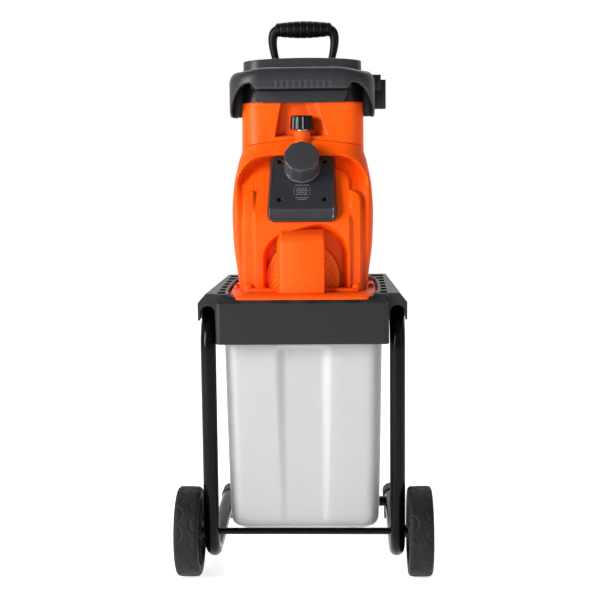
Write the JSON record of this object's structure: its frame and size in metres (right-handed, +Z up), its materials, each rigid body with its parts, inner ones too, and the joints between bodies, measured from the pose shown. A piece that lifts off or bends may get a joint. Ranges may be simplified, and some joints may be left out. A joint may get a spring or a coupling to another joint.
{
  "type": "electric garden shredder",
  "caption": "Quiet drum-type wood chipper on a wheeled tube frame, with a folding feed hopper, geared cutting drum, adjustable counter plate and slide-out collection bin.",
  "frame": {"origin": "on the floor, under the middle of the whole machine's box", "axes": "+X to the right seen from the wheel side, +Y away from the wheels towards the side where the bin slides out, +Z up"},
  "size_m": [0.458, 0.46, 0.9949],
  "materials": {
    "orange": "satin moulded ABS",
    "grey": "fine-textured moulded plastic",
    "black_plastic": "satin moulded plastic",
    "gloss_black": "polished",
    "pale_plastic": "smooth",
    "green": "smooth",
    "red": "smooth",
    "bin_plastic": "translucent natural polypropylene",
    "tyre": "moulded tread",
    "foot_rubber": "matt",
    "black_tube": "satin black powder coat",
    "steel": "bright machined",
    "cast": "grey primer",
    "alloy": "die cast",
    "copper": "laminated core with copper windings",
    "brass": "turned"
  },
  "bodies": {
    "frame": {"left_frame_tube": "black_tube", "right_frame_tube": "black_tube", "front_cross_tube": "black_tube", "feet": "foot_rubber", "tube_end_plugs": "black_plastic", "axle": "black_tube", "axle_spacers": "black_plastic", "frame_bolts": "steel", "platform": "grey", "bin_lock_bracket": "grey", "base_seal": "foot_rubber", "base_plate": "orange", "main_housing": "orange", "rear_cover": "orange", "motor_vent_grille": "orange", "rear_duct_cover": "orange", "housing_screws": "black_tube", "console": "grey", "adjuster_bush": "brass", "cutting_chamber": "cast", "drum_bearings": "steel", "discharge_chute": "black_plastic", "gearbox_housing": "alloy", "gearbox_cover": "alloy", "motor_stator": "copper", "motor_end_shields": "alloy", "motor_capacitor": "pale_plastic", "hopper_hinge_pin": "steel", "control_panel": "black_plastic"},
    "left_wheel_body": {"left_wheel": "tyre", "left_hub_cap": "orange"},
    "right_wheel_body": {"right_wheel": "tyre", "right_hub_cap": "orange"},
    "bin_body": {"bin": "bin_plastic"},
    "bin_lock_body": {"bin_lock_slider": "orange"},
    "adjuster": {"adjusting_knob": "grey", "adjusting_screw": "steel"},
    "counter": {"counter_plate": "steel"},
    "drum": {"cutting_drum": "steel", "drum_shaft": "steel", "drum_gear": "steel"},
    "layshaft": {"intermediate_pinion_shaft": "steel", "intermediate_gear": "steel"},
    "rotor": {"motor_rotor": "steel", "motor_pinion": "steel", "motor_fan": "black_plastic"},
    "hopper": {"hopper_chute": "orange", "feed_funnel": "black_plastic", "hopper_rim": "grey", "feed_guard": "black_plastic", "push_stick_holder": "grey"},
    "lock_lift_body": {"lock_washer": "steel"},
    "lock_turn_body": {"lock_knob": "gloss_black", "lock_screw": "steel"},
    "stick": {"push_stick": "black_plastic", "push_stick_grip": "black_plastic"},
    "start": {"start_button": "green"},
    "stop": {"stop_button": "red"},
    "reset": {"reset_button": "black_plastic"},
    "direction": {"direction_switch": "black_plastic"}
  },
  "joints": [
    {"name": "left_wheel_spin", "type": "hinge", "parent": "frame", "child": "left_wheel_body", "pos_m": [-0.201, -0.15, 0.08], "axis": [1, 0, 0], "continuous": true},
    {"name": "right_wheel_spin", "type": "hinge", "parent": "frame", "child": "right_wheel_body", "pos_m": [0.201, -0.15, 0.08], "axis": [1, 0, 0], "continuous": true},
    {"name": "bin_slide", "type": "slide", "parent": "frame", "child": "bin_body", "axis": [0, 1, 0], "range_m": [0, 0.45]},
    {"name": "bin_lock_slide", "type": "slide", "parent": "frame", "child": "bin_lock_body", "axis": [0, 0, -1], "range_m": [0, 0.005]},
    {"name": "adjuster_turn", "type": "hinge", "parent": "frame", "child": "adjuster", "pos_m": [0, -0.084, 0.725], "axis": [0, -0.8348, 0.5505], "range_deg": [0, 1350]},
    {"name": "counter_slide", "type": "slide", "parent": "frame", "child": "counter", "axis": [0, -0.8348, 0.5505], "range_m": [0, 0.0076]},
    {"name": "drum_spin", "type": "hinge", "parent": "frame", "child": "drum", "pos_m": [0, 0.05375, 0.63417], "axis": [1, 0, 0], "continuous": true},
    {"name": "layshaft_spin", "type": "hinge", "parent": "frame", "child": "layshaft", "pos_m": [0, -0.00979, 0.62902], "axis": [1, 0, 0], "continuous": true},
    {"name": "rotor_spin", "type": "hinge", "parent": "frame", "child": "rotor", "pos_m": [0, -0.042, 0.574], "axis": [1, 0, 0], "continuous": true},
    {"name": "hopper_tilt", "type": "hinge", "parent": "frame", "child": "hopper", "pos_m": [0, 0.121, 0.784], "axis": [-1, 0, 0], "range_deg": [0, 75]},
    {"name": "lock_lift", "type": "slide", "parent": "hopper", "child": "lock_lift_body", "axis": [0, 0, 1], "range_m": [0, 0.0081]},
    {"name": "lock_turn", "type": "hinge", "parent": "lock_lift_body", "child": "lock_turn_body", "pos_m": [0, -0.07, 0.8], "axis": [0, 0, 1], "range_deg": [0, 1440]},
    {"name": "stick_slide", "type": "slide", "parent": "hopper", "child": "stick", "axis": [0, 0, 1], "range_m": [0, 0.25]},
    {"name": "start_press", "type": "slide", "parent": "frame", "child": "start", "axis": [0, -1, 0], "range_m": [0, 0.003], "stiffness_N_per_m": 400},
    {"name": "stop_press", "type": "slide", "parent": "frame", "child": "stop", "axis": [0, -1, 0], "range_m": [0, 0.003], "stiffness_N_per_m": 400},
    {"name": "reset_press", "type": "slide", "parent": "frame", "child": "reset", "axis": [0, -1, 0], "range_m": [0, 0.003], "stiffness_N_per_m": 400},
    {"name": "direction_turn", "type": "hinge", "parent": "frame", "child": "direction", "pos_m": [0.018, 0.152, 0.622], "axis": [0, 1, 0], "range_deg": [-45, 45]}
  ],
  "couplings": [
    {"joint": "counter_slide", "follows": "adjuster_turn", "m_per_rad": 0.00031831},
    {"joint": "lock_lift", "follows": "lock_turn", "m_per_rad": 0.00031831},
    {"joint": "layshaft_spin", "follows": "drum_spin", "ratio": -4},
    {"joint": "rotor_spin", "follows": "drum_spin", "ratio": 16}
  ]
}
